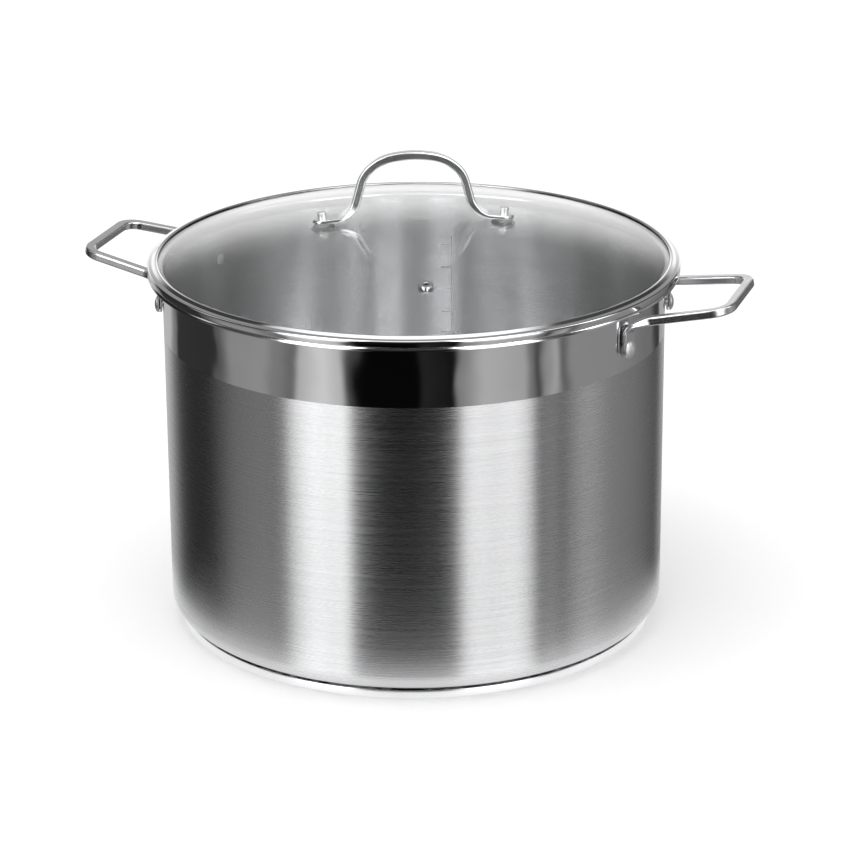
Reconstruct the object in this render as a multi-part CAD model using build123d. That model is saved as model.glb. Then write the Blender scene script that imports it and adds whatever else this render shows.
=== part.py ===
from build123d import *
import os
from math import asin, atan2, cos, hypot, radians, sin, sqrt

# Stock pot with a domed glass lid.
# Millimetres, +Z up. The origin is the centre of the base's underside and the
# two side handles lie along X.

# ---------------------------------------------------------------- pot shell
body_diameter = 300.0            # outside of the straight wall
pot_height = 217.6               # table to the top of the lip
wall_thickness = 1.0
bottom_corner_radius = 12.0      # outside radius between wall and bottom
lip_overhang = 6.6               # how far the lip stands out from the wall
lip_flare_radius = 4.0           # upper face, where the wall turns out into the lip
lip_edge_radius = 1.6            # upper face, where the lip turns down
lip_edge_height = 1.8            # turned-down edge

# --------------------------------------------------------------------- base
base_inset = 7.0                 # wall in to the outside of the steel cup
core_thickness = 4.0             # aluminium disc
capsule_thickness = 0.8          # steel cup round the aluminium
capsule_corner_radius = 1.2
seam_gap = 0.2                   # open line between the cup's rim and the shell

# ------------------------------------------------------ bar of both handles
bar_width = 6.0
bar_height = 5.0
bar_edge_radius = 1.2
bend_overlap = 1.0               # how far each bend runs on inside its flat end
bend_inset = 0.1                 # bend's end to the faces of the flat end round it

# ------------------------------------------------------------- side handles
tab_angle = 17.8                 # each tab's place round the wall, from the X axis
tab_width = 10.0
tab_thickness = 2.5
tab_edge_radius = 0.9
tab_rise = 10.0                  # rivet's centre up to the top of the tab
rivet_drop = 24.6                # lip down to the rivet's centre
loop_drop = 8.1                  # lip down to the bar's centre where the loop starts
loop_start = 5.5                 # wall out to where the loop starts
loop_reach = 47.5                # wall out to the centre of the outer bar
loop_rise = 7.0                  # how much higher the outer bar is than the start
loop_start_span = 79.0           # between the legs' centres where the loop starts
loop_end_span = 63.8             # between the legs' centres at the outer bar
loop_corner_radius = 12.0

# ------------------------------------------------- rivets of the side handles
rivet_shank_diameter = 5.0
rivet_head_diameter = 10.0
rivet_head_height = 2.0
rivet_inner_head_diameter = 9.0
rivet_inner_head_height = 1.4
head_edge_height = 0.5           # upright edge of every domed head

# ---------------------------------------------------------------- lid glass
dome_radius = 512.0              # outer face of the glass
glass_thickness = 3.6
glass_edge_radius = 0.8

# ----------------------------------------------------------------- lid ring
lid_seat_gap = 0.3               # lip up to the underside of the ring
ring_overhang = 1.0              # how far the ring stands out past the lip
ring_thickness = 0.6
ring_side_height = 4.0           # outer side of the ring
ring_width = 6.2                 # ring's outer side in to its inner edge
ring_lap = 1.2                   # ring's inner edge out to the glass's edge
bead_offset = 1.5                # inner edge out to the crest of the bead
bead_rise = 0.5                  # crest of the bead above the inner edge
valley_offset = 3.5              # inner edge out to the valley beside the bead
valley_drop = 1.1                # valley below the inner edge
bead_radius = 1.0
shoulder_radius = 1.2
ring_foot_radius = 0.7
skirt_clearance = 1.0            # skirt to the inside of the wall
skirt_depth = 6.0                # skirt below the ring's underside
skirt_bend_radius = 0.8
glass_clearance = 0.05           # glass to each leaf of the ring

# --------------------------------------------------------------- lid handle
handle_turn = 22.2               # lid handle's turn about Z, from the X axis
handle_hole_spacing = 106.6      # between the stub rivets, seen from above
foot_width = 12.0
foot_thickness = 2.5
foot_edge_radius = 0.9
foot_reach = 9.5                 # rivet's centre in to the foot's inner end
# centre line of the arch: spans between its two sides, heights over the feet
leg_span = 67.6
leg_height = 9.2
shoulder_span = 58.6
shoulder_height = 26.0
crown_span = 39.0
crown_height = 34.4
top_span = 12.0
top_height = 37.0
shoulder_bend_radius = 18.0
crown_bend_radius = 26.0
top_bend_radius = 60.0

# -------------------------------------------- fasteners and seals of the lid
stub_diameter = 5.0
stub_height = 3.9
stub_edge_radius = 0.4
lid_shank_diameter = 4.0
lid_rivet_head_diameter = 8.0
lid_rivet_head_height = 1.6
glass_hole_diameter = 8.0
grommet_diameter = 11.0
grommet_thickness = 1.5
seal_diameter = 14.0
seal_thickness = 1.5
steel_washer_diameter = 12.0
steel_washer_thickness = 1.0

# --------------------------------------------------------------- steam vent
vent_distance = 100.0            # vent to the pot's axis
vent_bore = 3.2
vent_tube_diameter = 5.0
vent_flange_diameter = 8.6
vent_flange_thickness = 0.9
vent_flange_radius = 0.4
vent_mouth_radius = 0.25
vent_washer_diameter = 9.0
vent_washer_thickness = 0.8
vent_flare_diameter = 6.6
vent_flare_thickness = 0.6

# -------------------------------------------------------- worked-out sizes
body_radius = body_diameter / 2
inner_radius = body_radius - wall_thickness
lip_radius = body_radius + lip_overhang
shell_bottom = capsule_thickness + core_thickness
base_radius = body_radius - base_inset
capsule_inner_radius = base_radius - capsule_thickness
rivet_height = pot_height - rivet_drop

ring_radius = lip_radius + ring_overhang
ring_bottom = pot_height + lid_seat_gap
ring_inner_edge = ring_radius - ring_width
glass_radius = ring_inner_edge + ring_lap
skirt_radius = inner_radius - skirt_clearance
hole_distance = handle_hole_spacing / 2

# the glass rests in the fold of the ring, which sets the height of the dome's centre
inner_dome_radius = dome_radius - glass_thickness
glass_edge_bottom = ring_bottom + ring_thickness + glass_clearance
dome_centre = glass_edge_bottom - sqrt(inner_dome_radius**2 - glass_radius**2)

# cutters are longer than anything that they pass through
cutter_length = 40.0


# ------------------------------------------------------------------ helpers
def sheet_section(points, radii, thickness, side):
    """Closed outline of a bent sheet: one face follows the points, the other is offset."""
    outline = FilletPolyline(*points, radius=radii)
    return make_face(outline.offset_2d(thickness, side=side))


def spun(section):
    """Solid of revolution round Z from a section drawn with X outwards and Y up."""
    return revolve(Plane.XZ * section, Axis.Z)


def disc(diameter, thickness, top):
    """Flat disc whose upper face is at a height."""
    align = (Align.CENTER, Align.CENTER, Align.MAX)
    return Pos(0, 0, top) * Cylinder(diameter / 2, thickness, align=align)


def hole(diameter):
    """Cutter for a round hole along Z."""
    return Cylinder(diameter / 2, cutter_length)


def domed_head(diameter, height):
    """Low domed head standing on the XY plane: a shallow cap with a short upright edge."""
    rise = height - head_edge_height
    ball = (diameter**2 / 4 + rise**2) / (2 * rise)
    cap = Pos(0, 0, height - ball) * Sphere(ball)
    return cap & disc(diameter, height, height)


# ------------------------------------------------------------------ pot body
def pot_shell():
    """Deep-drawn shell: the points are its inside face, and the wall lies outside it."""
    inside = [
        (0, shell_bottom + wall_thickness),
        (inner_radius, shell_bottom + wall_thickness),
        (inner_radius, pot_height),
        (lip_radius, pot_height),
        (lip_radius, pot_height - lip_edge_height),
    ]
    radii = [bottom_corner_radius - wall_thickness, lip_flare_radius, lip_edge_radius]
    shell = spun(sheet_section(inside, radii, wall_thickness, Side.RIGHT))
    for side in (1, -1):
        for end in (1, -1):
            shell -= tab_frame(side, end) * hole(rivet_shank_diameter)
    return shell


def base_core():
    """Aluminium disc, face to face with the shell and the cup."""
    core = disc(2 * capsule_inner_radius, core_thickness, shell_bottom)
    lower_edge = core.edges().filter_by(GeomType.CIRCLE).sort_by(Axis.Z)[0]
    return fillet(lower_edge, capsule_corner_radius - capsule_thickness)


def base_capsule():
    """Steel cup round the core; its rim stops just under the shell's rounded corner."""
    run = capsule_inner_radius - (body_radius - bottom_corner_radius)
    corner = shell_bottom + bottom_corner_radius - sqrt(bottom_corner_radius**2 - run**2)
    outside = [(0, 0), (base_radius, 0), (base_radius, corner - seam_gap)]
    return spun(sheet_section(outside, [capsule_corner_radius], capsule_thickness, Side.LEFT))


# ------------------------------------------------- bars, bends and flat ends
def bar_section(centre, along, across, width, height, edge_radius):
    """Rounded rectangle square to the bar, with its width along `across`."""
    frame = Plane(origin=centre, x_dir=across, z_dir=along)
    return frame * RectangleRounded(width, height, edge_radius)


def bar_sweep(path, normal):
    """Bar of full section along a flat path; its width lies in the path's plane or across it."""
    across = normal.cross(path % 0)
    section = bar_section(path @ 0, path % 0, across, bar_width, bar_height, bar_edge_radius)
    return sweep(section, path)


def flattened_bend(start, leave, flat_edge, arrive, across, flat_across, flat, steps=6):
    """Smooth bend from the bar's full section at start into a flat end that begins at flat_edge.

    leave and arrive are the directions at the two ends. flat holds the width,
    thickness and edge radius of the flat end.
    """
    end = flat_edge + arrive * bend_overlap
    full = (bar_width, bar_height, bar_edge_radius)
    inside_flat = (flat[0] - 2 * bend_inset, flat[1] - 2 * bend_inset, flat[2] - bend_inset)
    pull = (end - start).length
    sections = []
    for step in range(steps + 1):
        t = step / steps
        ease = 3 * t**2 - 2 * t**3
        hold = t**3 - 2 * t**2 + t
        catch = t**3 - t**2
        centre = start * (1 - ease) + end * ease + leave * (pull * hold) + arrive * (pull * catch)
        turn = (end - start) * (6 * t - 6 * t**2)
        along = turn + leave * (pull * (3 * t**2 - 4 * t + 1)) + arrive * (pull * (3 * t**2 - 2 * t))
        along = along.normalized()
        turned = 1 - (1 - t) ** 2
        wide = across * (1 - turned) + flat_across * turned
        wide = wide - along * wide.dot(along)
        size = [a + (b - a) * ease for a, b in zip(full, inside_flat)]
        sections.append(bar_section(centre, along, wide, *size))
    return loft(sections)


def flat_end(width, length, thickness, edge_radius):
    """Flat end round a rivet: round on one side, and straight to `length` on the +Y side."""
    plate = Cylinder(width / 2, thickness) + Pos(0, length / 2) * Box(width, length, thickness)
    face_edges = [edge for edge in plate.edges() if abs(edge.center().Z) > thickness / 4]
    rounded = [edge for edge in face_edges if edge.center().Y < length - edge_radius]
    return fillet(rounded, edge_radius)


# --------------------------------------------------------------- side handles
def tab_frame(side, end):
    """Frame at a rivet: origin on the wall's outer face, Z out of the wall, Y up.

    side is 1 for the right handle and -1 for the left; end is 1 for the back tab
    and -1 for the front one.
    """
    angle = radians(tab_angle)
    out = Vector(side * cos(angle), end * sin(angle), 0)
    origin = out * body_radius + Vector(0, 0, rivet_height)
    return Plane(origin=origin, x_dir=Vector(0, 0, 1).cross(out), z_dir=out)


def side_handle():
    """Right-hand side handle: sloping loop, two flattened bends and two tabs on the wall."""
    run = loop_reach - loop_start
    slope = atan2(loop_rise, run)
    origin = Vector(body_radius + loop_start, 0, pot_height - loop_drop)
    outward = Vector(cos(slope), 0, sin(slope))
    loop_plane = Plane(origin=origin, x_dir=outward, z_dir=Vector(-sin(slope), 0, cos(slope)))
    start_half = loop_start_span / 2
    end_half = loop_end_span / 2
    length = hypot(run, loop_rise)
    corners = [(0, -start_half), (length, -end_half), (length, end_half), (0, start_half)]
    path = loop_plane * FilletPolyline(*corners, radius=loop_corner_radius)
    handle = bar_sweep(path, loop_plane.z_dir)
    tab = flat_end(tab_width, tab_rise, tab_thickness, tab_edge_radius)
    for end, position in ((1, 1), (-1, 0)):
        frame = tab_frame(1, end)
        leave = (path % position) * end
        across = loop_plane.z_dir.cross(leave)
        tab_top = frame.from_local_coords(Vector(0, tab_rise, tab_thickness / 2))
        flat = (tab_width, tab_thickness, tab_edge_radius)
        down = Vector(0, 0, -1)
        bend = flattened_bend(path @ position, leave, tab_top, down, across, -frame.x_dir, flat)
        handle += bend
        handle += frame * (Pos(0, 0, tab_thickness / 2) * tab)
        handle -= frame * hole(rivet_shank_diameter)
    return handle


def handle_rivet():
    """Rivet in the tab's frame: head on the tab, shank through the wall, head inside."""
    # the flat inner head touches the round wall along its two outermost edges
    inner_half = rivet_inner_head_diameter / 2
    inner_face = sqrt(inner_radius**2 - inner_half**2) - body_radius
    head = Pos(0, 0, tab_thickness) * domed_head(rivet_head_diameter, rivet_head_height)
    inner = Rot(180, 0, 0) * domed_head(rivet_inner_head_diameter, rivet_inner_head_height)
    shank = disc(rivet_shank_diameter, tab_thickness - inner_face, tab_thickness)
    return head + shank + Pos(0, 0, inner_face) * inner


# ------------------------------------------------------------------------ lid
def dome_height(distance):
    """Height of the glass's outer face at a distance from the lid's axis."""
    return dome_centre + sqrt(dome_radius**2 - distance**2)


def dome_frame(distance, turn):
    """Frame on the glass's outer face: Z out of the glass, X away from the lid's centre."""
    lean = asin(distance / dome_radius)
    away = Vector(cos(radians(turn)), sin(radians(turn)), 0)
    origin = away * distance + Vector(0, 0, dome_height(distance))
    outward = away * cos(lean) - Vector(0, 0, sin(lean))
    return Plane(origin=origin, x_dir=outward, z_dir=away * sin(lean) + Vector(0, 0, cos(lean)))


def foot_frame(side):
    """Frame at a foot of the lid handle; side is 1 for the right foot and -1 for the left."""
    return dome_frame(hole_distance, handle_turn + 90 - 90 * side)


def vent_frame():
    """Frame at the vent, a quarter turn from the handle."""
    return dome_frame(vent_distance, handle_turn - 90)


def under_glass(diameter):
    """Height, in a frame on the dome, where a flat disc just fits under the glass."""
    sag = inner_dome_radius - sqrt(inner_dome_radius**2 - diameter**2 / 4)
    return -glass_thickness - sag


def lid_glass():
    """Spherical cap of even thickness with a rounded edge and three holes."""
    cap = Sphere(dome_radius) - Sphere(inner_dome_radius)
    glass = Pos(0, 0, dome_centre) * (cap & disc(2 * glass_radius, dome_radius, dome_radius))
    glass = fillet(glass.edges().filter_by(GeomType.CIRCLE), glass_edge_radius)
    for side in (1, -1):
        glass -= foot_frame(side) * hole(glass_hole_diameter)
    return glass - vent_frame() * hole(vent_tube_diameter)


def lid_rim():
    """Folded ring: upper leaf on the glass, outer side, lower leaf, skirt into the mouth."""
    inner_top = dome_height(ring_inner_edge) + glass_clearance + ring_thickness
    outside = [
        (ring_inner_edge, inner_top),
        (ring_inner_edge + bead_offset, inner_top + bead_rise),
        (ring_inner_edge + valley_offset, inner_top - valley_drop),
        (ring_radius, ring_bottom + ring_side_height),
        (ring_radius, ring_bottom),
        (skirt_radius, ring_bottom),
        (skirt_radius, ring_bottom - skirt_depth),
    ]
    radii = [bead_radius, bead_radius, shoulder_radius, ring_foot_radius, skirt_bend_radius]
    return spun(sheet_section(outside, radii, ring_thickness, Side.RIGHT))


def lid_handle():
    """Arched bar with two flattened feet that lie along the dome."""
    foot_centre = grommet_thickness + foot_thickness / 2
    foot_top = dome_height(hole_distance) + grommet_thickness + foot_thickness
    away = Vector(cos(radians(handle_turn)), sin(radians(handle_turn)), 0)
    upright = Plane(origin=(0, 0, foot_top), x_dir=away, z_dir=away.cross(Vector(0, 0, 1)))
    spans = [leg_span, shoulder_span, crown_span, top_span]
    heights = [leg_height, shoulder_height, crown_height, top_height]
    left = [(-span / 2, height) for span, height in zip(spans, heights)]
    right = [(-x, height) for x, height in reversed(left)]
    bends = [shoulder_bend_radius, crown_bend_radius, top_bend_radius]
    path = upright * FilletPolyline(*left, *right, radius=bends + bends[::-1])
    across = upright.z_dir
    profile = bar_section(path @ 0, path % 0, across, bar_width, bar_height, bar_edge_radius)
    handle = sweep(profile, path)
    foot = Rot(0, 0, 90) * flat_end(foot_width, foot_reach, foot_thickness, foot_edge_radius)
    for side, position in ((1, 1), (-1, 0)):
        frame = foot_frame(side)
        foot_end = frame.from_local_coords(Vector(-foot_reach, 0, foot_centre))
        leave = (path % position) * side
        flat = (foot_width, foot_thickness, foot_edge_radius)
        bend = flattened_bend(path @ position, leave, foot_end, frame.x_dir, across, across, flat)
        handle += bend
        handle += frame * (Pos(0, 0, foot_centre) * foot)
        handle -= frame * hole(lid_shank_diameter)
    return handle


def lid_rivet():
    """Stub rivet in a foot's frame: stub on the foot, shank, head under the steel washer."""
    foot_top = grommet_thickness + foot_thickness
    stub = disc(stub_diameter, stub_height, foot_top + stub_height)
    stub = fillet(stub.edges().sort_by(Axis.Z)[-1], stub_edge_radius)
    head_top = under_glass(seal_diameter) - seal_thickness - steel_washer_thickness
    shank = disc(lid_shank_diameter, foot_top - head_top, foot_top)
    head = Rot(180, 0, 0) * domed_head(lid_rivet_head_diameter, lid_rivet_head_height)
    return stub + shank + Pos(0, 0, head_top) * head


def lid_grommet():
    """Washer between foot and glass, with a sleeve that fills the hole in the glass."""
    washer = disc(grommet_diameter, grommet_thickness, grommet_thickness)
    sleeve = disc(glass_hole_diameter, glass_thickness, 0)
    return washer + sleeve - hole(lid_shank_diameter)


def lid_seal():
    """Silicone washer under the glass."""
    washer = disc(seal_diameter, seal_thickness, under_glass(seal_diameter))
    return washer - hole(lid_shank_diameter)


def lid_washer():
    """Steel washer under the silicone one."""
    top = under_glass(seal_diameter) - seal_thickness
    return disc(steel_washer_diameter, steel_washer_thickness, top) - hole(lid_shank_diameter)


# ----------------------------------------------------------------- steam vent
def vent_eyelet():
    """Tube through the glass with a rounded flange above and a flare below."""
    flare_top = under_glass(vent_washer_diameter) - vent_washer_thickness
    flange = disc(vent_flange_diameter, vent_flange_thickness, vent_flange_thickness)
    flange = fillet(flange.edges().sort_by(Axis.Z)[-1], vent_flange_radius)
    tube = disc(vent_tube_diameter, -flare_top, 0)
    flare = disc(vent_flare_diameter, vent_flare_thickness, flare_top)
    eyelet = flange + tube + flare - hole(vent_bore)
    top_circles = eyelet.edges().filter_by(GeomType.CIRCLE).group_by(Axis.Z)[-1]
    mouth = top_circles.sort_by(SortBy.RADIUS)[0]
    return fillet(mouth, vent_mouth_radius)


def vent_washer():
    """Washer that the eyelet is flared over."""
    top = under_glass(vent_washer_diameter)
    return disc(vent_washer_diameter, vent_washer_thickness, top) - hole(vent_tube_diameter)


# ---------------------------------------------------------------------- nodes
def all_nodes():
    """Every piece in its place, by its name."""
    right_handle = side_handle()
    nodes = {
        "pot_shell": pot_shell(),
        "base_core": base_core(),
        "base_capsule": base_capsule(),
        "side_handle_right": right_handle,
        "side_handle_left": mirror(right_handle, about=Plane.YZ),
        "lid_glass": lid_glass(),
        "lid_rim": lid_rim(),
        "lid_handle": lid_handle(),
        "vent_eyelet": vent_frame() * vent_eyelet(),
        "vent_washer": vent_frame() * vent_washer(),
    }
    for side, side_name in ((1, "right"), (-1, "left")):
        for end, end_name in ((1, "back"), (-1, "front")):
            nodes[f"handle_rivet_{side_name}_{end_name}"] = tab_frame(side, end) * handle_rivet()
        nodes[f"lid_rivet_{side_name}"] = foot_frame(side) * lid_rivet()
        nodes[f"lid_grommet_{side_name}"] = foot_frame(side) * lid_grommet()
        nodes[f"lid_seal_{side_name}"] = foot_frame(side) * lid_seal()
        nodes[f"lid_washer_{side_name}"] = foot_frame(side) * lid_washer()
    return nodes


os.makedirs("parts", exist_ok=True)
for name, shape in all_nodes().items():
    export_step(shape, f"parts/{name}.step")
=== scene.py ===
from math import cos, pi, radians, sin, tan

import bpy
from mathutils import Matrix, Vector


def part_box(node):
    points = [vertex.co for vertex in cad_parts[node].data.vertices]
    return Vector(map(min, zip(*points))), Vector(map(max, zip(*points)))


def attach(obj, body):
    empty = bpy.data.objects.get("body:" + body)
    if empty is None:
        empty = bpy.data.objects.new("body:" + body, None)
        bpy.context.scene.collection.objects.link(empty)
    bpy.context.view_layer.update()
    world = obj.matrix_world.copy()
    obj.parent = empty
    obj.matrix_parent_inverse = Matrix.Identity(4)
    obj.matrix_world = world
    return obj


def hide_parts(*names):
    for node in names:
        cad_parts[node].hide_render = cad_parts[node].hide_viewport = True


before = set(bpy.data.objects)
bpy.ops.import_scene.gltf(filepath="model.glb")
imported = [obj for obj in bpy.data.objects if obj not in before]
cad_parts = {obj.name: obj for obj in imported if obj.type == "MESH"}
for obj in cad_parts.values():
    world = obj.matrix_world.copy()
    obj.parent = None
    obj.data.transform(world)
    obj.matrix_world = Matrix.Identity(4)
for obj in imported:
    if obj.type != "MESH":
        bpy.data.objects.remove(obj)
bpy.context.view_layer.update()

bl_info = {
    "name": "Stock pot",
    "version": (1, 0, 0),
    "blender": (4, 5, 0),
    "location": "3D View > Sidebar > Stock pot",
    "description": "Builds the visible pieces, finishes and studio of a stock pot with a glass lid",
    "category": "Object",
}

MM = 0.001
CENTRE_RADIUS = 1 * MM  # radius of the small opening that the turned discs start from


# ------------------------------------------------------------------ properties
class PotSizes(bpy.types.PropertyGroup):
    """Sizes of the pot and its lid."""

    wall_radius: bpy.props.FloatProperty(
        name="Wall radius",
        description="Inside radius of the straight wall",
        default=149.0 * MM,
        unit="LENGTH",
    )
    lip_radius: bpy.props.FloatProperty(
        name="Lip radius",
        description="Radius of the lip's outer edge",
        default=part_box("pot_shell")[1].x,
        unit="LENGTH",
    )
    lip_height: bpy.props.FloatProperty(
        name="Lip height",
        description="Height of the lip's upper face",
        default=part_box("pot_shell")[1].z,
        unit="LENGTH",
    )
    sheet: bpy.props.FloatProperty(
        name="Wall thickness",
        description="Thickness of the wall and the bottom",
        default=1.0 * MM,
        unit="LENGTH",
    )
    floor_height: bpy.props.FloatProperty(
        name="Inside bottom height",
        description="Height of the pot's inside bottom above the hob",
        default=5.8 * MM,
        unit="LENGTH",
    )
    polish_height: bpy.props.FloatProperty(
        name="Polished band from",
        description="Height where the satin wall ends and the polished band starts",
        default=180.0 * MM,
        unit="LENGTH",
    )
    ring_radius: bpy.props.FloatProperty(
        name="Ring radius",
        description="Outside radius of the steel ring round the glass",
        default=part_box("lid_rim")[1].x,
        unit="LENGTH",
    )
    ring_width: bpy.props.FloatProperty(
        name="Ring width",
        description="Outside edge in to the glass side of the ring",
        default=6.2 * MM,
        unit="LENGTH",
    )
    ring_height: bpy.props.FloatProperty(
        name="Ring height",
        description="Height of the ring's edge on the glass",
        default=223.4 * MM,
        unit="LENGTH",
    )
    skirt_depth: bpy.props.FloatProperty(
        name="Skirt depth",
        description="How far the ring's skirt drops into the mouth",
        default=6.0 * MM,
        unit="LENGTH",
    )
    ring_sheet: bpy.props.FloatProperty(
        name="Ring thickness",
        description="Thickness of the ring's folded sheet",
        default=0.6 * MM,
        unit="LENGTH",
    )
    segments: bpy.props.IntProperty(
        name="Segments",
        description="Number of steps round the turned pieces",
        default=256,
        min=32,
        max=512,
    )


class PotColours(bpy.types.PropertyGroup):
    """Colours and finishes."""

    satin: bpy.props.FloatVectorProperty(
        name="Satin steel",
        description="Reflected colour of the brushed wall",
        default=(0.70, 0.70, 0.71),
        subtype="COLOR",
        min=0,
        max=1,
    )
    inside: bpy.props.FloatVectorProperty(
        name="Inner wall",
        description="Reflected colour of the inner wall and the pot's bottom",
        default=(0.93, 0.93, 0.94),
        subtype="COLOR",
        min=0,
        max=1,
    )
    polished: bpy.props.FloatVectorProperty(
        name="Polished steel",
        description="Reflected colour of the band, ring, handles and base",
        default=(0.84, 0.84, 0.85),
        subtype="COLOR",
        min=0,
        max=1,
    )
    # Painted light: the rivets are the bars' steel, given a lighter colour to stand in for the light their
    # heads catch.
    rivets: bpy.props.FloatVectorProperty(
        name="Rivets",
        description="Reflected colour of the rivets",
        default=(0.93, 0.93, 0.93),
        subtype="COLOR",
        min=0,
        max=1,
    )
    glass: bpy.props.FloatVectorProperty(
        name="Glass",
        description="Colour of light that has passed through the glass",
        default=(0.975, 0.985, 0.98),
        subtype="COLOR",
        min=0,
        max=1,
    )
    aluminium: bpy.props.FloatVectorProperty(
        name="Aluminium",
        description="Reflected colour of the disc inside the base",
        default=(0.80, 0.80, 0.81),
        subtype="COLOR",
        min=0,
        max=1,
    )
    silicone: bpy.props.FloatVectorProperty(
        name="Silicone",
        description="Colour of the washers under the lid handle's feet",
        default=(0.86, 0.87, 0.87),
        subtype="COLOR",
        min=0,
        max=1,
    )


class PotStudio(bpy.types.PropertyGroup):
    """Camera and light."""

    azimuth: bpy.props.FloatProperty(
        name="Camera azimuth",
        description="Camera's angle round the pot",
        default=radians(18.35),
        subtype="ANGLE",
    )
    elevation: bpy.props.FloatProperty(
        name="Camera elevation",
        description="Camera's angle above the floor",
        default=radians(20.34),
        subtype="ANGLE",
    )
    distance: bpy.props.FloatProperty(
        name="Camera distance",
        description="Camera to the pot's middle",
        default=2.003,
        unit="LENGTH",
    )
    roll: bpy.props.FloatProperty(
        name="Camera roll",
        description="Camera's turn about its own line of sight",
        default=radians(-0.44),
        subtype="ANGLE",
    )
    lens: bpy.props.FloatProperty(
        name="Lens",
        description="Focal length in millimetres",
        default=140.5,
        min=20,
        max=400,
    )
    tent_strength: bpy.props.FloatProperty(
        name="Reflected light",
        description="Brightness of the studio that the steel reflects",
        default=1.0,
        min=0,
    )
    room_strength: bpy.props.FloatProperty(
        name="Room light",
        description="Brightness of the even light on the floor",
        default=1.15,
        min=0,
    )


# --------------------------------------------------------------- shape helpers
def start_fresh():
    """Nothing selected, object mode."""
    if bpy.context.object and bpy.context.object.mode != "OBJECT":
        bpy.ops.object.mode_set(mode="OBJECT")
    bpy.ops.object.select_all(action="DESELECT")


def rounded(points, radii, steps=8):
    """Polyline with an arc at each inner corner; points are (radius, height)."""
    path = [Vector(points[0])]
    for i, radius in enumerate(radii):
        before, corner, after = (Vector(p) for p in points[i : i + 3])
        into = (before - corner).normalized()
        out = (after - corner).normalized()
        half = into.angle(out) / 2
        reach = radius / tan(half)
        middle = corner + (into + out).normalized() * (radius / sin(half))
        first, last = corner + into * reach - middle, corner + out * reach - middle
        sweep = first.angle_signed(last)
        for step in range(steps + 1):
            turn = Matrix.Rotation(-sweep * step / steps, 2)
            path.append(middle + turn @ first)
    path.append(Vector(points[-1]))
    return path


def turned(name, path, segments):
    """Open surface of revolution: a circle is extruded from ring to ring along the path."""
    start_fresh()
    radius, height = path[0]
    bpy.ops.mesh.primitive_circle_add(vertices=segments, radius=radius)
    piece = bpy.context.object
    piece.name = name
    bpy.ops.object.mode_set(mode="EDIT")
    bpy.ops.mesh.select_all(action="SELECT")
    bpy.ops.transform.translate(value=(0, 0, height))
    for ring_radius, ring_height in path[1:]:
        bpy.ops.mesh.extrude_region_move(
            TRANSFORM_OT_translate={"value": (0, 0, ring_height - height)}
        )
        ratio = ring_radius / radius
        bpy.ops.transform.resize(value=(ratio, ratio, 1), center_override=(0, 0, ring_height))
        radius, height = ring_radius, ring_height
    bpy.ops.object.mode_set(mode="OBJECT")
    return piece


def close_centre(piece, radius):
    """Fills the round openings smaller than a radius with a flat cap."""
    bpy.ops.object.mode_set(mode="EDIT")
    bpy.ops.mesh.select_all(action="DESELECT")
    bpy.ops.object.mode_set(mode="OBJECT")
    for vertex in piece.data.vertices:
        vertex.select = vertex.co.xy.length < radius
    bpy.ops.object.mode_set(mode="EDIT")
    bpy.ops.mesh.select_mode(type="VERT")
    bpy.ops.mesh.edge_face_add()
    bpy.ops.mesh.select_all(action="DESELECT")
    bpy.ops.object.mode_set(mode="OBJECT")


def thicken(piece, thickness, side):
    """Gives a surface its sheet thickness; side 1 grows along the normals."""
    bpy.ops.object.modifier_add(type="SOLIDIFY")
    modifier = piece.modifiers[-1]
    modifier.thickness = thickness
    modifier.offset = side
    modifier.use_even_offset = True
    bpy.ops.object.modifier_apply(modifier=modifier.name)


def soften(piece, width, angle=40):
    """Small rounded edges, smooth shading and outward normals."""
    bpy.ops.object.modifier_add(type="BEVEL")
    modifier = piece.modifiers[-1]
    modifier.width = width
    modifier.segments = 2
    modifier.limit_method = "ANGLE"
    modifier.angle_limit = radians(angle)
    bpy.ops.object.modifier_apply(modifier=modifier.name)
    bpy.ops.object.mode_set(mode="EDIT")
    bpy.ops.mesh.select_all(action="SELECT")
    bpy.ops.mesh.normals_make_consistent(inside=False)
    bpy.ops.object.mode_set(mode="OBJECT")
    bpy.ops.object.shade_smooth_by_angle(angle=radians(angle))


def finish_piece(piece, body, slot, *nodes):
    """Puts a piece on its body and in the place of CAD nodes; the slot is not used."""
    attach(piece, body)
    if nodes:
        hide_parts(*nodes)


# ------------------------------------------------------------- material helpers
def socket_value(node, **values):
    """Sets named inputs; underscores stand for spaces."""
    for name, value in values.items():
        node.inputs[name.replace("_", " ")].default_value = value


def new_group(name, inputs, outputs):
    """Empty shader node group; inputs are (name, socket type, default)."""
    group = bpy.data.node_groups.new(name, "ShaderNodeTree")
    for label, kind, default in inputs:
        item = group.interface.new_socket(name=label, in_out="INPUT", socket_type=kind)
        if default is not None:
            item.default_value = default
    for label, kind in outputs:
        group.interface.new_socket(name=label, in_out="OUTPUT", socket_type=kind)
    return group, group.nodes.new("NodeGroupInput"), group.nodes.new("NodeGroupOutput")


def math_node(tree, operation, *values):
    """Math node; a value is a number or another node's output."""
    node = tree.nodes.new("ShaderNodeMath")
    node.operation = operation
    for socket, value in zip(node.inputs, values):
        if isinstance(value, (int, float)):
            socket.default_value = value
        else:
            tree.links.new(value, socket)
    return node.outputs[0]


def ramp_node(tree, value, low, high, from_value=0.0, to_value=1.0):
    """Maps a value's range low to high onto another range, eased and clamped."""
    node = tree.nodes.new("ShaderNodeMapRange")
    node.interpolation_type = "SMOOTHSTEP"
    socket_value(node, From_Min=low, From_Max=high, To_Min=from_value, To_Max=to_value)
    tree.links.new(value, node.inputs["Value"])
    return node.outputs["Result"]


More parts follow.
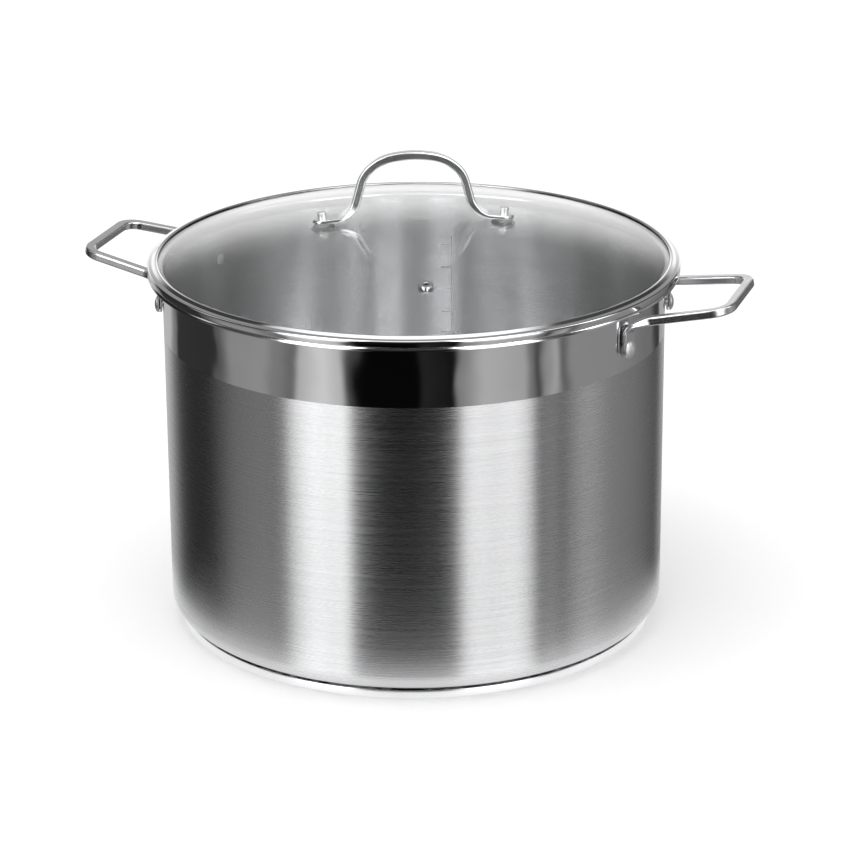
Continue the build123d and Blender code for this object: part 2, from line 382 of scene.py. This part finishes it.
def noise_node(tree, coordinates, scale, detail=3.0, stretch=(1, 1, 1)):
    """Noise over coordinates that are stretched first."""
    mapping = tree.nodes.new("ShaderNodeMapping")
    mapping.inputs["Scale"].default_value = stretch
    tree.links.new(coordinates, mapping.inputs["Vector"])
    node = tree.nodes.new("ShaderNodeTexNoise")
    socket_value(node, Scale=scale, Detail=detail)
    tree.links.new(mapping.outputs["Vector"], node.inputs["Vector"])
    return node.outputs["Fac"]


def grain_group():
    """Fine brushing round the Z axis with faint smudges: roughness, shade and height."""
    group, source, out = new_group(
        "Round brushing",
        [
            ("Roughness", "NodeSocketFloat", 0.3),
            ("Grain", "NodeSocketFloat", 0.1),
            ("Smudges", "NodeSocketFloat", 0.04),
            ("Colour", "NodeSocketColor", (0.7, 0.7, 0.7, 1)),
        ],
        [("Color", "NodeSocketColor"), ("Roughness", "NodeSocketFloat"), ("Height", "NodeSocketFloat")],
    )
    place = group.nodes.new("ShaderNodeTexCoord").outputs["Object"]
    fine = noise_node(group, place, 1.0, 4.0, (8, 8, 1500))
    broad = noise_node(group, place, 1.0, 2.0, (2.5, 2.5, 500))
    fine_part = math_node(group, "MULTIPLY", fine, 0.8)
    broad_part = math_node(group, "MULTIPLY", broad, 0.2)
    lines = math_node(group, "ADD", fine_part, broad_part)
    centred = math_node(group, "SUBTRACT", lines, 0.5)
    smudge = math_node(group, "SUBTRACT", noise_node(group, place, 9.0, 3.0), 0.5)
    rough = math_node(group, "MULTIPLY_ADD", centred, source.outputs["Grain"], source.outputs["Roughness"])
    rough = math_node(group, "MULTIPLY_ADD", smudge, source.outputs["Smudges"], rough)
    group.links.new(rough, out.inputs["Roughness"])
    shade = math_node(group, "MULTIPLY_ADD", centred, source.outputs["Grain"], 1.0)
    mix = group.nodes.new("ShaderNodeVectorMath")
    mix.operation = "SCALE"
    group.links.new(source.outputs["Colour"], mix.inputs[0])
    group.links.new(shade, mix.inputs["Scale"])
    group.links.new(mix.outputs[0], out.inputs["Color"])
    group.links.new(lines, out.inputs["Height"])
    return group


def ripple_group():
    """Faint waves and smudges of hand-polished steel: roughness, shade and height."""
    group, source, out = new_group(
        "Polish",
        [
            ("Roughness", "NodeSocketFloat", 0.06),
            ("Smudges", "NodeSocketFloat", 0.05),
            ("Colour", "NodeSocketColor", (0.84, 0.84, 0.85, 1)),
        ],
        [("Color", "NodeSocketColor"), ("Roughness", "NodeSocketFloat"), ("Height", "NodeSocketFloat")],
    )
    place = group.nodes.new("ShaderNodeTexCoord").outputs["Object"]
    wave = noise_node(group, place, 28.0, 1.0)
    smudge = math_node(group, "SUBTRACT", noise_node(group, place, 70.0, 4.0), 0.45)
    lifted = math_node(group, "MAXIMUM", smudge, 0.0)
    rough = math_node(group, "MULTIPLY_ADD", lifted, source.outputs["Smudges"], source.outputs["Roughness"])
    group.links.new(rough, out.inputs["Roughness"])
    shade = math_node(group, "MULTIPLY_ADD", smudge, -0.06, 1.0)
    mix = group.nodes.new("ShaderNodeVectorMath")
    mix.operation = "SCALE"
    group.links.new(source.outputs["Colour"], mix.inputs[0])
    group.links.new(shade, mix.inputs["Scale"])
    group.links.new(mix.outputs[0], out.inputs["Color"])
    group.links.new(wave, out.inputs["Height"])
    return group


def scale_group():
    """Etched litre marks on the inner wall: a mask that is 1 on a mark."""
    group, source, out = new_group(
        "Litre marks",
        [
            ("Angle", "NodeSocketFloat", radians(99)),
            ("Radius", "NodeSocketFloat", 0.149),
            ("First", "NodeSocketFloat", 0.020),
            ("Step", "NodeSocketFloat", 0.0149),
            ("Top", "NodeSocketFloat", 0.190),
            ("Length", "NodeSocketFloat", 0.007),
            ("Width", "NodeSocketFloat", 0.0007),
        ],
        [("Mask", "NodeSocketFloat")],
    )
    place = group.nodes.new("ShaderNodeTexCoord").outputs["Object"]
    parts = group.nodes.new("ShaderNodeSeparateXYZ")
    group.links.new(place, parts.inputs[0])
    angle = math_node(group, "ARCTAN2", parts.outputs["Y"], parts.outputs["X"])
    along = math_node(group, "SUBTRACT", angle, source.outputs["Angle"])
    along = math_node(group, "MULTIPLY", along, source.outputs["Radius"])
    half = math_node(group, "MULTIPLY", source.outputs["Width"], 0.5)
    upright = math_node(group, "LESS_THAN", math_node(group, "ABSOLUTE", along), half)
    above = math_node(group, "SUBTRACT", parts.outputs["Z"], source.outputs["First"])
    near = math_node(group, "PINGPONG", above, math_node(group, "MULTIPLY", source.outputs["Step"], 0.5))
    tick = math_node(group, "LESS_THAN", near, half)
    reach = math_node(group, "LESS_THAN", along, source.outputs["Length"])
    reach = math_node(group, "MULTIPLY", reach, math_node(group, "GREATER_THAN", along, 0.0))
    tick = math_node(group, "MULTIPLY", tick, reach)
    mark = math_node(group, "MAXIMUM", upright, tick)
    low = math_node(group, "GREATER_THAN", above, -0.001)
    high = math_node(group, "LESS_THAN", parts.outputs["Z"], source.outputs["Top"])
    inside = math_node(group, "MULTIPLY", low, high)
    group.links.new(math_node(group, "MULTIPLY", mark, inside), out.inputs["Mask"])
    return group


def shared_group(name, maker):
    """The named group, made the first time it is asked for."""
    return bpy.data.node_groups.get(name) or maker()


def new_material(name):
    """Material with a Principled shader; returns the material, its tree and the shader."""
    material = bpy.data.materials.new(name)
    material.use_nodes = True
    tree = material.node_tree
    shader = next(n for n in tree.nodes if n.type == "BSDF_PRINCIPLED")
    return material, tree, shader


def add_group(tree, group, **values):
    """Group node with its inputs set."""
    node = tree.nodes.new("ShaderNodeGroup")
    node.node_tree = group
    socket_value(node, **values)
    return node


def add_bump(tree, shader, height, strength, distance):
    """Height to the shader's normal."""
    bump = tree.nodes.new("ShaderNodeBump")
    socket_value(bump, Strength=strength, Distance=distance)
    tree.links.new(height, bump.inputs["Height"])
    tree.links.new(bump.outputs["Normal"], shader.inputs["Normal"])


def satin_steel(name, colour, roughness=0.27, smear=1.0, marks=False):
    """Steel brushed round the pot's axis; its reflections smear up and down."""
    if name in bpy.data.materials:
        return bpy.data.materials[name]
    material, tree, shader = new_material(name)
    socket_value(shader, Metallic=1.0, Anisotropic=smear)
    brushing = add_group(
        tree,
        shared_group("Round brushing", grain_group),
        Roughness=roughness,
        Grain=0.12,
        Smudges=0.03,
        Colour=(*colour, 1),
    )
    tree.links.new(brushing.outputs["Roughness"], shader.inputs["Roughness"])
    upright = tree.nodes.new("ShaderNodeCombineXYZ")
    upright.inputs["Z"].default_value = 1.0
    tree.links.new(upright.outputs["Vector"], shader.inputs["Tangent"])
    add_bump(tree, shader, brushing.outputs["Height"], 0.06, 0.00002)
    if marks:
        scale = add_group(tree, shared_group("Litre marks", scale_group))
        mix = tree.nodes.new("ShaderNodeMix")
        mix.data_type = "RGBA"
        tree.links.new(scale.outputs["Mask"], mix.inputs["Factor"])
        tree.links.new(brushing.outputs["Color"], mix.inputs["A"])
        mix.inputs["B"].default_value = (1.0, 1.0, 1.0, 1)
        tree.links.new(mix.outputs["Result"], shader.inputs["Base Color"])
        etched = math_node(tree, "MULTIPLY_ADD", scale.outputs["Mask"], 0.45, brushing.outputs["Roughness"])
        tree.links.new(etched, shader.inputs["Roughness"])
    else:
        tree.links.new(brushing.outputs["Color"], shader.inputs["Base Color"])
    return material


def polished_steel(name, colour, roughness=0.05, wave=0.1):
    """Mirror-polished steel with faint waves."""
    if name in bpy.data.materials:
        return bpy.data.materials[name]
    material, tree, shader = new_material(name)
    socket_value(shader, Metallic=1.0)
    polish = add_group(
        tree, shared_group("Polish", ripple_group), Roughness=roughness, Smudges=0.06, Colour=(*colour, 1)
    )
    tree.links.new(polish.outputs["Color"], shader.inputs["Base Color"])
    tree.links.new(polish.outputs["Roughness"], shader.inputs["Roughness"])
    add_bump(tree, shader, polish.outputs["Height"], wave, 0.001)
    return material


def clear_glass(name, colour):
    """Tempered glass."""
    if name in bpy.data.materials:
        return bpy.data.materials[name]
    material, tree, shader = new_material(name)
    socket_value(shader, Metallic=0.0, Roughness=0.0, IOR=1.5, Transmission_Weight=1.0)
    smudge = add_group(
        tree, shared_group("Polish", ripple_group), Roughness=0.0, Smudges=0.02, Colour=(*colour, 1)
    )
    tree.links.new(smudge.outputs["Color"], shader.inputs["Base Color"])
    return material


def clear_silicone(name, colour):
    """Milky silicone."""
    if name in bpy.data.materials:
        return bpy.data.materials[name]
    material, tree, shader = new_material(name)
    socket_value(shader, Metallic=0.0, IOR=1.41, Transmission_Weight=0.6)
    polish = add_group(
        tree, shared_group("Polish", ripple_group), Roughness=0.3, Smudges=0.3, Colour=(*colour, 1)
    )
    tree.links.new(polish.outputs["Color"], shader.inputs["Base Color"])
    tree.links.new(polish.outputs["Roughness"], shader.inputs["Roughness"])
    return material


def dress(node_names, material):
    """Gives CAD nodes a material in the slots they have."""
    for name in node_names:
        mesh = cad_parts[name].data
        if not mesh.materials:
            mesh.materials.append(material)
        for index in range(len(mesh.materials)):
            mesh.materials[index] = material


# ------------------------------------------------------------------- operators
class POT_OT_shell(bpy.types.Operator):
    """Pot shell with its flared lip, satin wall and polished band."""

    bl_idname = "stockpot.shell"
    bl_label = "Pot shell"

    def execute(self, context):
        sizes = context.scene.pot_sizes
        colours = context.scene.pot_colours
        lip_edge = sizes.lip_height - 1.8 * MM
        inside = [
            (CENTRE_RADIUS, sizes.floor_height),
            (sizes.wall_radius, sizes.floor_height),
            (sizes.wall_radius, sizes.lip_height),
            (sizes.lip_radius, sizes.lip_height),
            (sizes.lip_radius, lip_edge),
        ]
        corner_bend, flare_bend, edge_bend = 11 * MM, 4 * MM, 1.6 * MM
        path = rounded(inside, [corner_bend, flare_bend, edge_bend])
        tolerance = 0.001 * MM
        wall_start = next(i for i, p in enumerate(path) if abs(p.x - sizes.wall_radius) < tolerance)
        path.insert(wall_start + 1, Vector((sizes.wall_radius, sizes.polish_height)))
        ring_step = sizes.polish_height / 6
        for ring in range(5, 0, -1):
            path.insert(wall_start + 1, Vector((sizes.wall_radius, ring * ring_step)))
        shell = turned("pot_shell_visual", path, sizes.segments)
        close_centre(shell, 2 * CENTRE_RADIUS)
        thicken(shell, sizes.sheet, 1)
        soften(shell, 0.25 * MM)
        wall = satin_steel("satin_steel_wall", colours.satin)
        band = polished_steel("polished_band", colours.polished, 0.08, 0.9)
        inner = satin_steel("satin_steel_inside", colours.inside, 0.22, 1.0, marks=True)
        for material in (wall, band, inner):
            shell.data.materials.append(material)
        outer_limit = sizes.wall_radius + sizes.sheet / 2
        band_index, inner_index = 1, 2
        for face in shell.data.polygons:
            raised = face.center.z > sizes.polish_height
            faces_in = face.normal.xy.dot(face.center.xy) < 0 or face.normal.z > 0.5
            if raised and face.center.xy.length > outer_limit:
                face.material_index = band_index
            elif faces_in and face.center.z < sizes.lip_height - flare_bend:
                face.material_index = inner_index
            elif raised:
                face.material_index = band_index
        finish_piece(shell, "pot", "satin_steel", "pot_shell")
        return {"FINISHED"}


class POT_OT_base(bpy.types.Operator):
    """Steel cup round the aluminium base, open to a thin dark line under the shell."""

    bl_idname = "stockpot.base"
    bl_label = "Base cup"

    def execute(self, context):
        sizes = context.scene.pot_sizes
        colours = context.scene.pot_colours
        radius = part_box("base_capsule")[1].x
        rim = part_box("base_capsule")[1].z
        outside = [(CENTRE_RADIUS, 0), (radius, 0), (radius, rim)]
        corner_bend = 1.2 * MM
        sheet = 0.8 * MM
        cup = turned("base_capsule_visual", rounded(outside, [corner_bend]), sizes.segments)
        close_centre(cup, 2 * CENTRE_RADIUS)
        thicken(cup, sheet, 1)
        soften(cup, 0.2 * MM)
        cup.data.materials.append(polished_steel("polished_base", colours.polished, 0.20, 0.1))
        finish_piece(cup, "pot", "satin_steel", "base_capsule")
        return {"FINISHED"}


class POT_OT_ring(bpy.types.Operator):
    """Folded steel ring round the glass, with its bead, shoulder and skirt."""

    bl_idname = "stockpot.ring"
    bl_label = "Lid ring"

    def execute(self, context):
        sizes = context.scene.pot_sizes
        colours = context.scene.pot_colours
        seat_gap = 0.3 * MM
        skirt_gap = 1.0 * MM
        low = sizes.lip_height + seat_gap
        inner = sizes.ring_radius - sizes.ring_width
        skirt = sizes.wall_radius - skirt_gap
        outside = [
            (inner, sizes.ring_height),
            (inner + 1.5 * MM, sizes.ring_height + 0.5 * MM),
            (inner + 3.5 * MM, sizes.ring_height - 1.1 * MM),
            (sizes.ring_radius, low + 4.0 * MM),
            (sizes.ring_radius, low),
            (skirt, low),
            (skirt, low - sizes.skirt_depth),
        ]
        bends = [1.0 * MM, 1.0 * MM, 1.2 * MM, 0.7 * MM, 0.8 * MM]
        ring = turned("lid_rim_visual", rounded(outside, bends, 6), sizes.segments)
        thicken(ring, sizes.ring_sheet, -1)
        soften(ring, 0.15 * MM)
        ring.data.materials.append(polished_steel("polished_ring", colours.polished, 0.07, 0.08))
        finish_piece(ring, "lid", "polished_steel", "lid_rim")
        return {"FINISHED"}


class POT_OT_finishes(bpy.types.Operator):
    """Finishes of the pieces that keep their CAD shape."""

    bl_idname = "stockpot.finishes"
    bl_label = "Finishes"

    def execute(self, context):
        colours = context.scene.pot_colours
        bars = polished_steel("polished_steel_bars", colours.polished, 0.26, 0.3)
        dress(["side_handle_right", "side_handle_left", "lid_handle"], bars)
        # The rivets' lighter colour is painted light on the same steel as the bars.
        rivets = polished_steel("polished_steel_rivets", colours.rivets, 0.42, 0.05)
        dress([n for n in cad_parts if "rivet" in n], rivets)
        fittings = polished_steel("polished_steel_fittings", colours.polished, 0.12, 0.05)
        dress([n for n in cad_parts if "vent" in n or "lid_washer" in n], fittings)
        dress(["lid_glass"], clear_glass("tempered_glass", colours.glass))
        silicone = clear_silicone("milky_silicone", colours.silicone)
        dress([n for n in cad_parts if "grommet" in n or "seal" in n], silicone)
        dress(["base_core"], satin_steel("heat_disc_aluminium", colours.aluminium, 0.35))
        return {"FINISHED"}


# Brightness of the studio by degrees to the right of the camera, at three heights.
# Below the horizon:
TABLE_STRIPS = [
    (-180, 0.50), (-150, 0.50), (-140, 0.20), (-136, 0.035), (-104, 0.030), (-101, 0.10), (-89, 0.28),
    (-72, 0.30), (-66, 0.22), (-57, 0.15), (-53, 0.50), (-43, 0.68), (-34, 0.55), (-28, 0.06),
    (-24, 0.002), (0, 0.002), (4, 0.018), (12, 0.012), (17, 0.004), (21, 0.24), (32, 0.46), (50, 0.40),
    (55, 0.18), (58, 0.06), (62, 0.30), (66, 0.40), (70, 0.13), (76, 0.27), (100, 0.26), (136, 0.17),
    (144, 0.05), (148, 0.04), (152, 0.40), (180, 0.50),
]
# Round the horizon:
UPPER_STRIPS = [
    (-180, 1.10), (-152, 1.10), (-142, 0.50), (-137, 0.02), (-104, 0.02), (-99, 0.05), (-66, 0.09),
    (-60, 0.30), (-55, 1.90), (-43, 2.40), (-31, 2.20), (-26, 0.03), (-12, 0.01), (10, 0.01),
    (18, 0.02), (23, 1.80), (35, 2.30), (51, 1.90), (56, 0.15), (66, 0.04), (72, 0.20), (80, 0.40),
    (110, 0.28), (136, 0.12), (145, 0.04), (150, 0.60), (156, 1.10), (180, 1.10),
]
# High up, where the softboxes hang:
HIGH_STRIPS = [
    (-180, 0.30), (-150, 0.30), (-140, 0.05), (-112, 0.05), (-108, 0.8), (-98, 0.8), (-94, 0.05),
    (-62, 0.08), (-57, 6.0), (-46, 6.0), (-43, 1.0), (-38, 1.0), (-36, 6.0), (-30, 6.0), (-26, 0.05),
    (18, 0.05), (22, 6.0), (30, 6.0), (33, 1.0), (40, 1.0), (43, 6.0), (51, 6.0), (56, 0.10),
    (78, 0.08), (83, 3.0), (92, 3.0), (97, 0.08), (140, 0.05), (150, 0.30), (180, 0.30),
]
TABLE_TO_UPPER = (-17, -3)
UPPER_TO_HIGH = (10, 26)
HIGH_TO_CEILING = (58, 70)
CEILING_BRIGHTNESS = 1.3
TENT_RADIUS = 8.0
KEY_AZIMUTH = -30
KEY_ELEVATION = 70
KEY_DISTANCE = 3.0
KEY_SIZE = 2.0
KEY_POWER = 14


def direction(azimuth, elevation):
    """Unit vector from the pot towards an azimuth and elevation; azimuth 0 is the front."""
    return Vector((sin(azimuth) * cos(elevation), -cos(azimuth) * cos(elevation), sin(elevation)))


class POT_OT_stage(bpy.types.Operator):
    """Pale floor, soft studio round the pot and the camera."""

    bl_idname = "stockpot.stage"
    bl_label = "Stage"

    def floor(self):
        """Pale floor that fades into the background."""
        start_fresh()
        bpy.ops.mesh.primitive_plane_add(size=60)
        floor = bpy.context.object
        floor.name = "floor"
        floor.visible_glossy = False
        material, _, shader = new_material("floor")
        socket_value(shader, Roughness=0.9, Base_Color=(0.92, 0.92, 0.92, 1), Specular_IOR_Level=0.0)
        floor.data.materials.append(material)
        return floor

    def tent(self, studio):
        """Sphere of soft light, bright and dark in upright strips, that only reflections see."""
        start_fresh()
        bpy.ops.mesh.primitive_uv_sphere_add(radius=TENT_RADIUS, segments=128, ring_count=64)
        tent = bpy.context.object
        tent.name = "studio_tent"
        tent.visible_camera = False
        tent.visible_diffuse = False
        tent.visible_shadow = False
        material, tree, shader = new_material("studio_tent")
        tree.nodes.remove(shader)
        place = tree.nodes.new("ShaderNodeTexCoord").outputs["Object"]
        parts = tree.nodes.new("ShaderNodeSeparateXYZ")
        tree.links.new(place, parts.inputs[0])
        turn = tree.nodes.new("ShaderNodeVectorRotate")
        turn.rotation_type = "Z_AXIS"
        turn.inputs["Angle"].default_value = pi / 2 - studio.azimuth
        tree.links.new(place, turn.inputs["Vector"])
        turned_parts = tree.nodes.new("ShaderNodeSeparateXYZ")
        tree.links.new(turn.outputs["Vector"], turned_parts.inputs[0])
        angle = math_node(tree, "ARCTAN2", turned_parts.outputs["Y"], turned_parts.outputs["X"])
        share = math_node(tree, "MULTIPLY_ADD", angle, 0.5 / pi, 0.5)
        height = math_node(tree, "DIVIDE", parts.outputs["Z"], TENT_RADIUS)
        level = self.strips(tree, share, TABLE_STRIPS)
        level = self.blend(tree, level, self.strips(tree, share, UPPER_STRIPS), height, TABLE_TO_UPPER)
        level = self.blend(tree, level, self.strips(tree, share, HIGH_STRIPS), height, UPPER_TO_HIGH)
        level = self.blend(tree, level, CEILING_BRIGHTNESS, height, HIGH_TO_CEILING)
        emission = tree.nodes.new("ShaderNodeEmission")
        tree.links.new(math_node(tree, "MULTIPLY", level, studio.tent_strength), emission.inputs["Strength"])
        tree.links.new(emission.outputs[0], tree.nodes["Material Output"].inputs["Surface"])
        tent.data.materials.append(material)
        return tent

    def strips(self, tree, share, stops):
        """Brightness over the turn, eased from stop to stop."""
        level = None
        for (start, before), (end, after) in zip(stops, stops[1:]):
            if before == after:
                continue
            part = ramp_node(tree, share, start / 360 + 0.5, end / 360 + 0.5, 0.0, after - before)
            level = part if level is None else math_node(tree, "ADD", level, part)
        return math_node(tree, "ADD", level, stops[0][1])

    def blend(self, tree, below, above, height, elevations):
        """Goes from one brightness to another between two elevations in degrees."""
        start, end = (sin(radians(elevation)) for elevation in elevations)
        share = ramp_node(tree, height, start, end)
        kept = math_node(tree, "MULTIPLY", below, math_node(tree, "SUBTRACT", 1.0, share))
        return math_node(tree, "ADD", kept, math_node(tree, "MULTIPLY", share, above))

    def sheen(self):
        """Lit disc just under the floor, seen only by reflections in the base and the corner."""
        start_fresh()
        radius = 185 * MM
        depth = 0.4 * MM
        bpy.ops.mesh.primitive_circle_add(vertices=128, radius=radius, fill_type="NGON")
        sheen = bpy.context.object
        sheen.name = "table_sheen"
        bpy.ops.object.mode_set(mode="EDIT")
        bpy.ops.mesh.select_all(action="SELECT")
        bpy.ops.transform.translate(value=(0, 0, -depth))
        bpy.ops.object.mode_set(mode="OBJECT")
        sheen.visible_camera = False
        sheen.visible_diffuse = False
        sheen.visible_shadow = False
        material, _, shader = new_material("table_sheen")
        socket_value(shader, Base_Color=(0, 0, 0, 1), Emission_Color=(1, 1, 1, 1))
        socket_value(shader, Emission_Strength=0.95)
        sheen.data.materials.append(material)
        return sheen

    def lamp(self, name, azimuth, elevation, distance, size, power):
        """Soft lamp aimed at the pot, unseen in reflections."""
        start_fresh()
        bpy.ops.object.light_add(type="AREA")
        lamp = bpy.context.object
        lamp.name = name
        lamp.data.shape = "DISK"
        lamp.data.size = size
        lamp.data.energy = power
        lamp.visible_glossy = False
        back = direction(azimuth, elevation)
        lamp.location = back * distance
        lamp.rotation_mode = "QUATERNION"
        lamp.rotation_quaternion = (-back).to_track_quat("-Z", "Y")
        return lamp

    def camera(self, studio):
        """Camera at a three-quarter view from above."""
        start_fresh()
        bpy.ops.object.camera_add()
        camera = bpy.context.object
        camera.name = "camera"
        back = direction(studio.azimuth, studio.elevation)
        target = Vector((0, 0, 110 * MM))
        camera.location = target + back * studio.distance
        look = (-back).to_track_quat("-Z", "Y").to_matrix()
        camera.rotation_mode = "QUATERNION"
        camera.rotation_quaternion = (look @ Matrix.Rotation(studio.roll, 3, "Z")).to_quaternion()
        camera.data.lens = studio.lens
        camera.data.sensor_width = 36
        camera.data.shift_x = 0.0117
        camera.data.shift_y = 0.0099
        camera.data.clip_start = 0.05
        camera.data.clip_end = 100
        camera.data.dof.use_dof = False
        bpy.context.scene.camera = camera
        return camera

    def execute(self, context):
        studio = context.scene.pot_studio
        world = bpy.data.worlds.new("studio")
        world.use_nodes = True
        background = world.node_tree.nodes["Background"]
        socket_value(background, Color=(1, 1, 1, 1), Strength=studio.room_strength)
        context.scene.world = world
        floor = self.floor()
        tent = self.tent(studio)
        azimuth, elevation = radians(KEY_AZIMUTH), radians(KEY_ELEVATION)
        key = self.lamp("key_light", azimuth, elevation, KEY_DISTANCE, KEY_SIZE, KEY_POWER)
        sheen = self.sheen()
        camera = self.camera(studio)
        context.scene.view_settings.view_transform = "Standard"
        return {"FINISHED"}


class POT_PT_panel(bpy.types.Panel):
    """Lists the steps."""

    bl_label = "Stock pot"
    bl_idname = "POT_PT_panel"
    bl_space_type = "VIEW_3D"
    bl_region_type = "UI"
    bl_category = "Stock pot"

    def draw(self, context):
        for group in ("pot_sizes", "pot_colours", "pot_studio"):
            properties = getattr(context.scene, group)
            for name in properties.__annotations__:
                self.layout.prop(properties, name)
        for step in STEPS:
            self.layout.operator(step.bl_idname)


STEPS = (POT_OT_shell, POT_OT_base, POT_OT_ring, POT_OT_finishes, POT_OT_stage)
CLASSES = (PotSizes, PotColours, PotStudio, *STEPS, POT_PT_panel)


def register():
    """Registers the classes and hangs the properties on the scene."""
    for item in CLASSES:
        bpy.utils.register_class(item)
    bpy.types.Scene.pot_sizes = bpy.props.PointerProperty(type=PotSizes)
    bpy.types.Scene.pot_colours = bpy.props.PointerProperty(type=PotColours)
    bpy.types.Scene.pot_studio = bpy.props.PointerProperty(type=PotStudio)


def unregister():
    """Takes away what register added."""
    del bpy.types.Scene.pot_sizes
    del bpy.types.Scene.pot_colours
    del bpy.types.Scene.pot_studio
    for item in reversed(CLASSES):
        bpy.utils.unregister_class(item)


def main():
    """Builds every piece and the stage."""
    register()
    bpy.ops.stockpot.shell()
    bpy.ops.stockpot.base()
    bpy.ops.stockpot.ring()
    bpy.ops.stockpot.finishes()
    bpy.ops.stockpot.stage()


if __name__ == "__main__":
    main()
